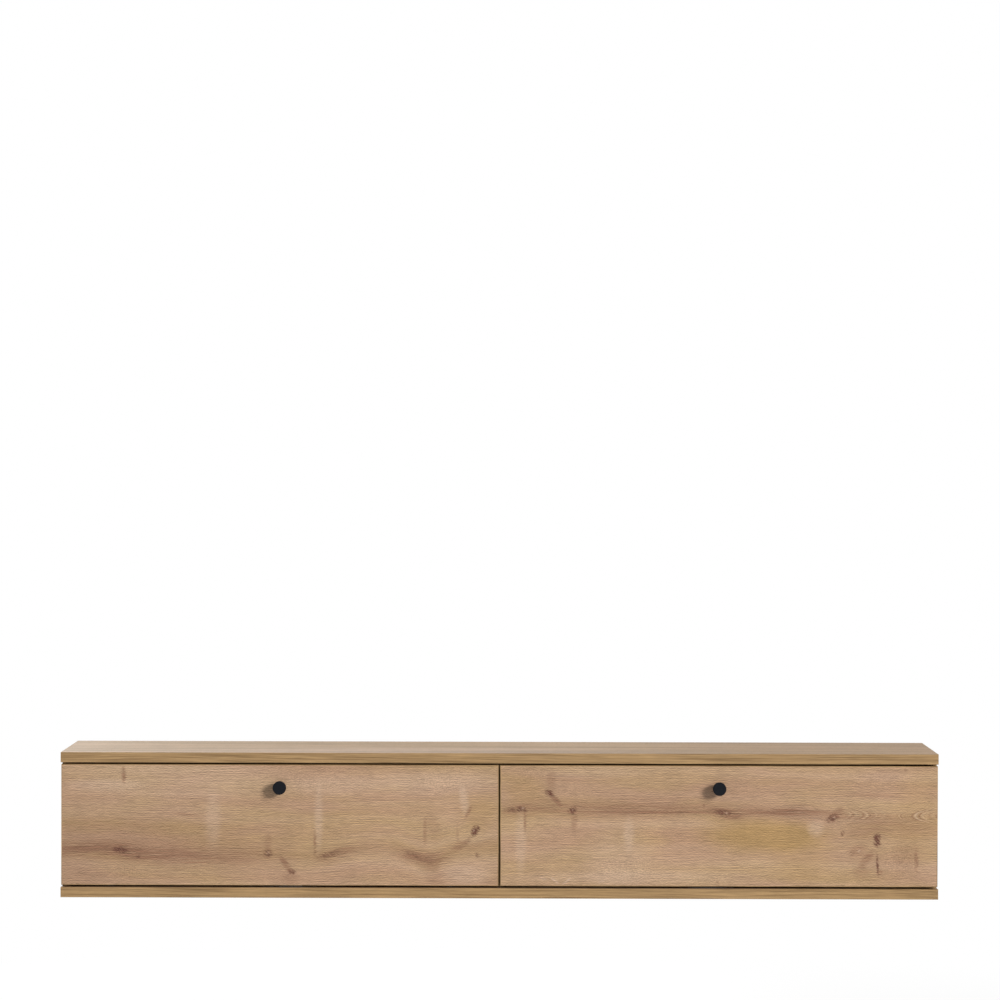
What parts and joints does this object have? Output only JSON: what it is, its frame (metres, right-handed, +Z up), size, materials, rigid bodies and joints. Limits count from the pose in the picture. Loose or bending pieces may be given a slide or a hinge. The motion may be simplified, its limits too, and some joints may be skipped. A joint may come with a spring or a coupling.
{
  "type": "floating media console",
  "caption": "Long wall-hung media console in oak-decor board with drop-down flap doors, small round black knobs and damped stays.",
  "frame": {"origin": "on the wall plane, on the rear edge of the middle divider, at the middle of the console's width and height", "axes": "+X along the length to the viewer's right, +Y into the wall, +Z up; the doors face -Y"},
  "size_m": [1.8, 0.3411, 0.298],
  "materials": {
    "oak_board": "pale knotty oak decor with embossed grain, edges banded to match",
    "back_board": "thin hardboard, pale",
    "knob_black": "matte black powder coat",
    "hinge_nickel": "nickel plate",
    "fastener_steel": "bright zinc plate",
    "cam_zinc": "cast zinc",
    "grey_plastic": "moulded grey",
    "bumper_rubber": "clear soft pad"
  },
  "bodies": {
    "case": {"top_panel": "oak_board", "bottom_panel": "oak_board", "side_panel_left": "oak_board", "side_panel_right": "oak_board", "middle_divider": "oak_board", "back_panel_left": "back_board", "back_panel_right": "back_board", "hinge_arm_left_inner": "hinge_nickel", "hinge_arm_left_outer": "hinge_nickel", "hinge_arm_right_inner": "hinge_nickel", "hinge_arm_right_outer": "hinge_nickel", "hinge_mount_left_inner": "hinge_nickel", "hinge_mount_left_outer": "hinge_nickel", "hinge_mount_right_inner": "hinge_nickel", "hinge_mount_right_outer": "hinge_nickel", "stay_housing_left": "grey_plastic", "stay_housing_right": "grey_plastic", "hanger_housing_left": "grey_plastic", "hanger_housing_right": "grey_plastic", "hanger_hook_left": "fastener_steel", "hanger_hook_right": "fastener_steel", "wall_plate_left": "fastener_steel", "wall_plate_right": "fastener_steel", "cam_lock_left_front": "cam_zinc", "cam_lock_left_rear": "cam_zinc", "cam_lock_middle_front": "cam_zinc", "cam_lock_middle_rear": "cam_zinc", "cam_lock_right_front": "cam_zinc", "cam_lock_right_rear": "cam_zinc", "cam_bolt_left_front": "fastener_steel", "cam_bolt_left_rear": "fastener_steel", "cam_bolt_middle_front": "fastener_steel", "cam_bolt_middle_rear": "fastener_steel", "cam_bolt_right_front": "fastener_steel", "cam_bolt_right_rear": "fastener_steel", "case_screw_left_front": "fastener_steel", "case_screw_left_rear": "fastener_steel", "case_screw_middle_front": "fastener_steel", "case_screw_middle_rear": "fastener_steel", "case_screw_right_front": "fastener_steel", "case_screw_right_rear": "fastener_steel"},
    "left_flap": {"flap_door_left": "oak_board", "knob_left": "knob_black", "knob_screw_left": "fastener_steel", "door_bumper_left": "bumper_rubber", "stay_bracket_left": "hinge_nickel", "hinge_cup_left_inner": "hinge_nickel", "hinge_cup_left_outer": "hinge_nickel"},
    "right_flap": {"flap_door_right": "oak_board", "knob_right": "knob_black", "knob_screw_right": "fastener_steel", "door_bumper_right": "bumper_rubber", "stay_bracket_right": "hinge_nickel", "hinge_cup_right_inner": "hinge_nickel", "hinge_cup_right_outer": "hinge_nickel"},
    "left_rocker": {"stay_rocker_left": "hinge_nickel"},
    "right_rocker": {"stay_rocker_right": "hinge_nickel"},
    "left_link": {"stay_link_left": "hinge_nickel"},
    "right_link": {"stay_link_right": "hinge_nickel"}
  },
  "joints": [
    {"name": "left_flap_hinge", "type": "hinge", "parent": "case", "child": "left_flap", "pos_m": [-0.45, -0.307, -0.1155], "axis": [1, 0, 0], "range_deg": [0, 90]},
    {"name": "right_flap_hinge", "type": "hinge", "parent": "case", "child": "right_flap", "pos_m": [0.45, -0.307, -0.1155], "axis": [1, 0, 0], "range_deg": [0, 90]},
    {"name": "left_rocker_pivot", "type": "hinge", "parent": "case", "child": "left_rocker", "pos_m": [-0.8755, -0.247, -0.0955], "axis": [1, 0, 0], "range_deg": [0, 90]},
    {"name": "right_rocker_pivot", "type": "hinge", "parent": "case", "child": "right_rocker", "pos_m": [0.8755, -0.247, -0.0955], "axis": [1, 0, 0], "range_deg": [0, 90]},
    {"name": "left_link_pivot", "type": "hinge", "parent": "left_rocker", "child": "left_link", "pos_m": [-0.8725, -0.224, -0.0055], "axis": [1, 0, 0], "range_deg": [-90, 0]},
    {"name": "right_link_pivot", "type": "hinge", "parent": "right_rocker", "child": "right_link", "pos_m": [0.8725, -0.224, -0.0055], "axis": [1, 0, 0], "range_deg": [-90, 0]}
  ],
  "couplings": [
    {"joint": "left_rocker_pivot", "follows": "left_flap_hinge", "ratio": 1},
    {"joint": "right_rocker_pivot", "follows": "right_flap_hinge", "ratio": 1},
    {"joint": "left_link_pivot", "follows": "left_flap_hinge", "ratio": -1},
    {"joint": "right_link_pivot", "follows": "right_flap_hinge", "ratio": -1}
  ]
}
